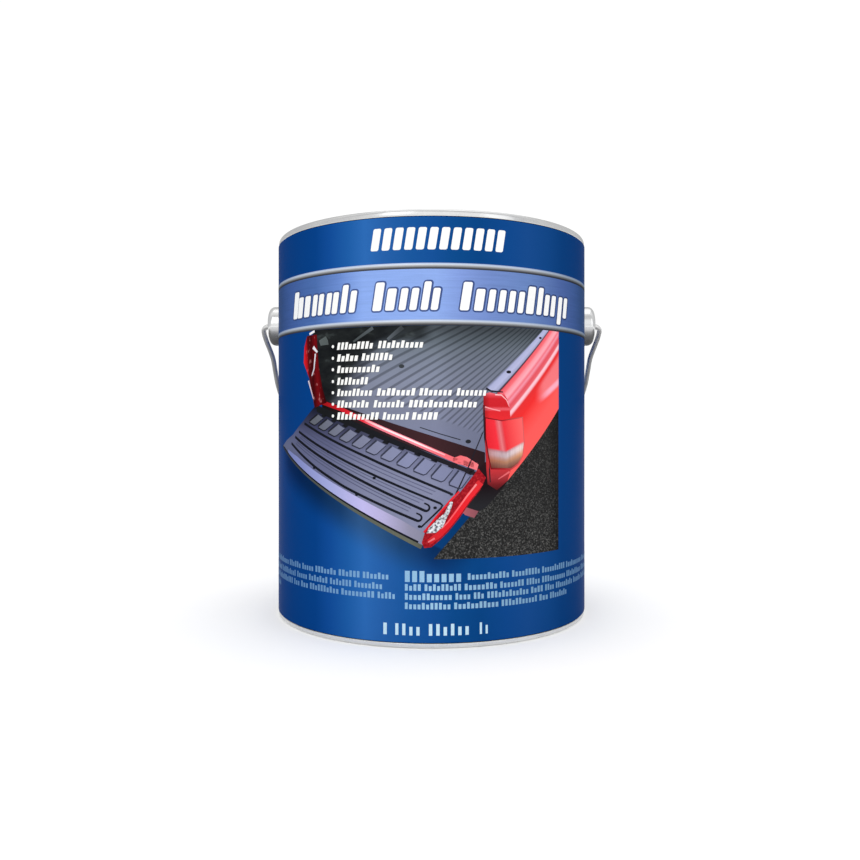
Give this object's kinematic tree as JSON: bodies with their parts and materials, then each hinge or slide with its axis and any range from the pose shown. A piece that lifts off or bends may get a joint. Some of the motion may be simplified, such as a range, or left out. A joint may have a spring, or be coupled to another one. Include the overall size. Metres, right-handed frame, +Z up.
{
  "type": "truck bed liner coating can",
  "caption": "Round steel gallon can of truck bed lining coating with a wrapped label, a press-in lid, side ears and a swinging wire bail.",
  "frame": {"origin": "on the can's axis, in the plane that the can stands on", "axes": "+Z up along the can's axis, +X through the right ear, the label's front faces -Y and the bail hangs at the back, +Y"},
  "size_m": [0.1884, 0.1685, 0.197],
  "materials": {
    "body_tinplate": "bright rolled tinplate with faint vertical rolling lines",
    "end_tinplate": "bright pressed tinplate, rubbed on the foot",
    "ring_tinplate": "bright pressed tinplate with lines round the rim",
    "lid_tinplate": "bright pressed tinplate with fine scuffs",
    "ear_tinplate": "bright drawn tinplate",
    "bail_steel": "plain drawn steel wire, slightly dull",
    "printed_label": "varnished printed paper, deep blue with a pale blue band and a picture",
    "seam_compound": "matt rubbery sealing compound",
    "coating": "thick black liquid with a wet skin and fine rubber grit"
  },
  "bodies": {
    "can": {"can_body": "body_tinplate", "bottom_end": "end_tinplate", "bottom_seam_compound": "seam_compound", "top_ring": "ring_tinplate", "top_seam_compound": "seam_compound", "label_wrap": "printed_label", "ear_right": "ear_tinplate", "ear_left": "ear_tinplate", "coating_fill": "coating"},
    "lid": {"lid_plug": "lid_tinplate"},
    "bail": {"bail_wire": "bail_steel"}
  },
  "joints": [
    {"name": "bail_swing", "type": "hinge", "parent": "can", "child": "bail", "pos_m": [0, 0, 0.1536], "axis": [1, 0, 0], "range_deg": [0, 276]},
    {"name": "lid_lift", "type": "slide", "parent": "can", "child": "lid", "axis": [0, 0, 1], "range_m": [0, 0.06]}
  ]
}
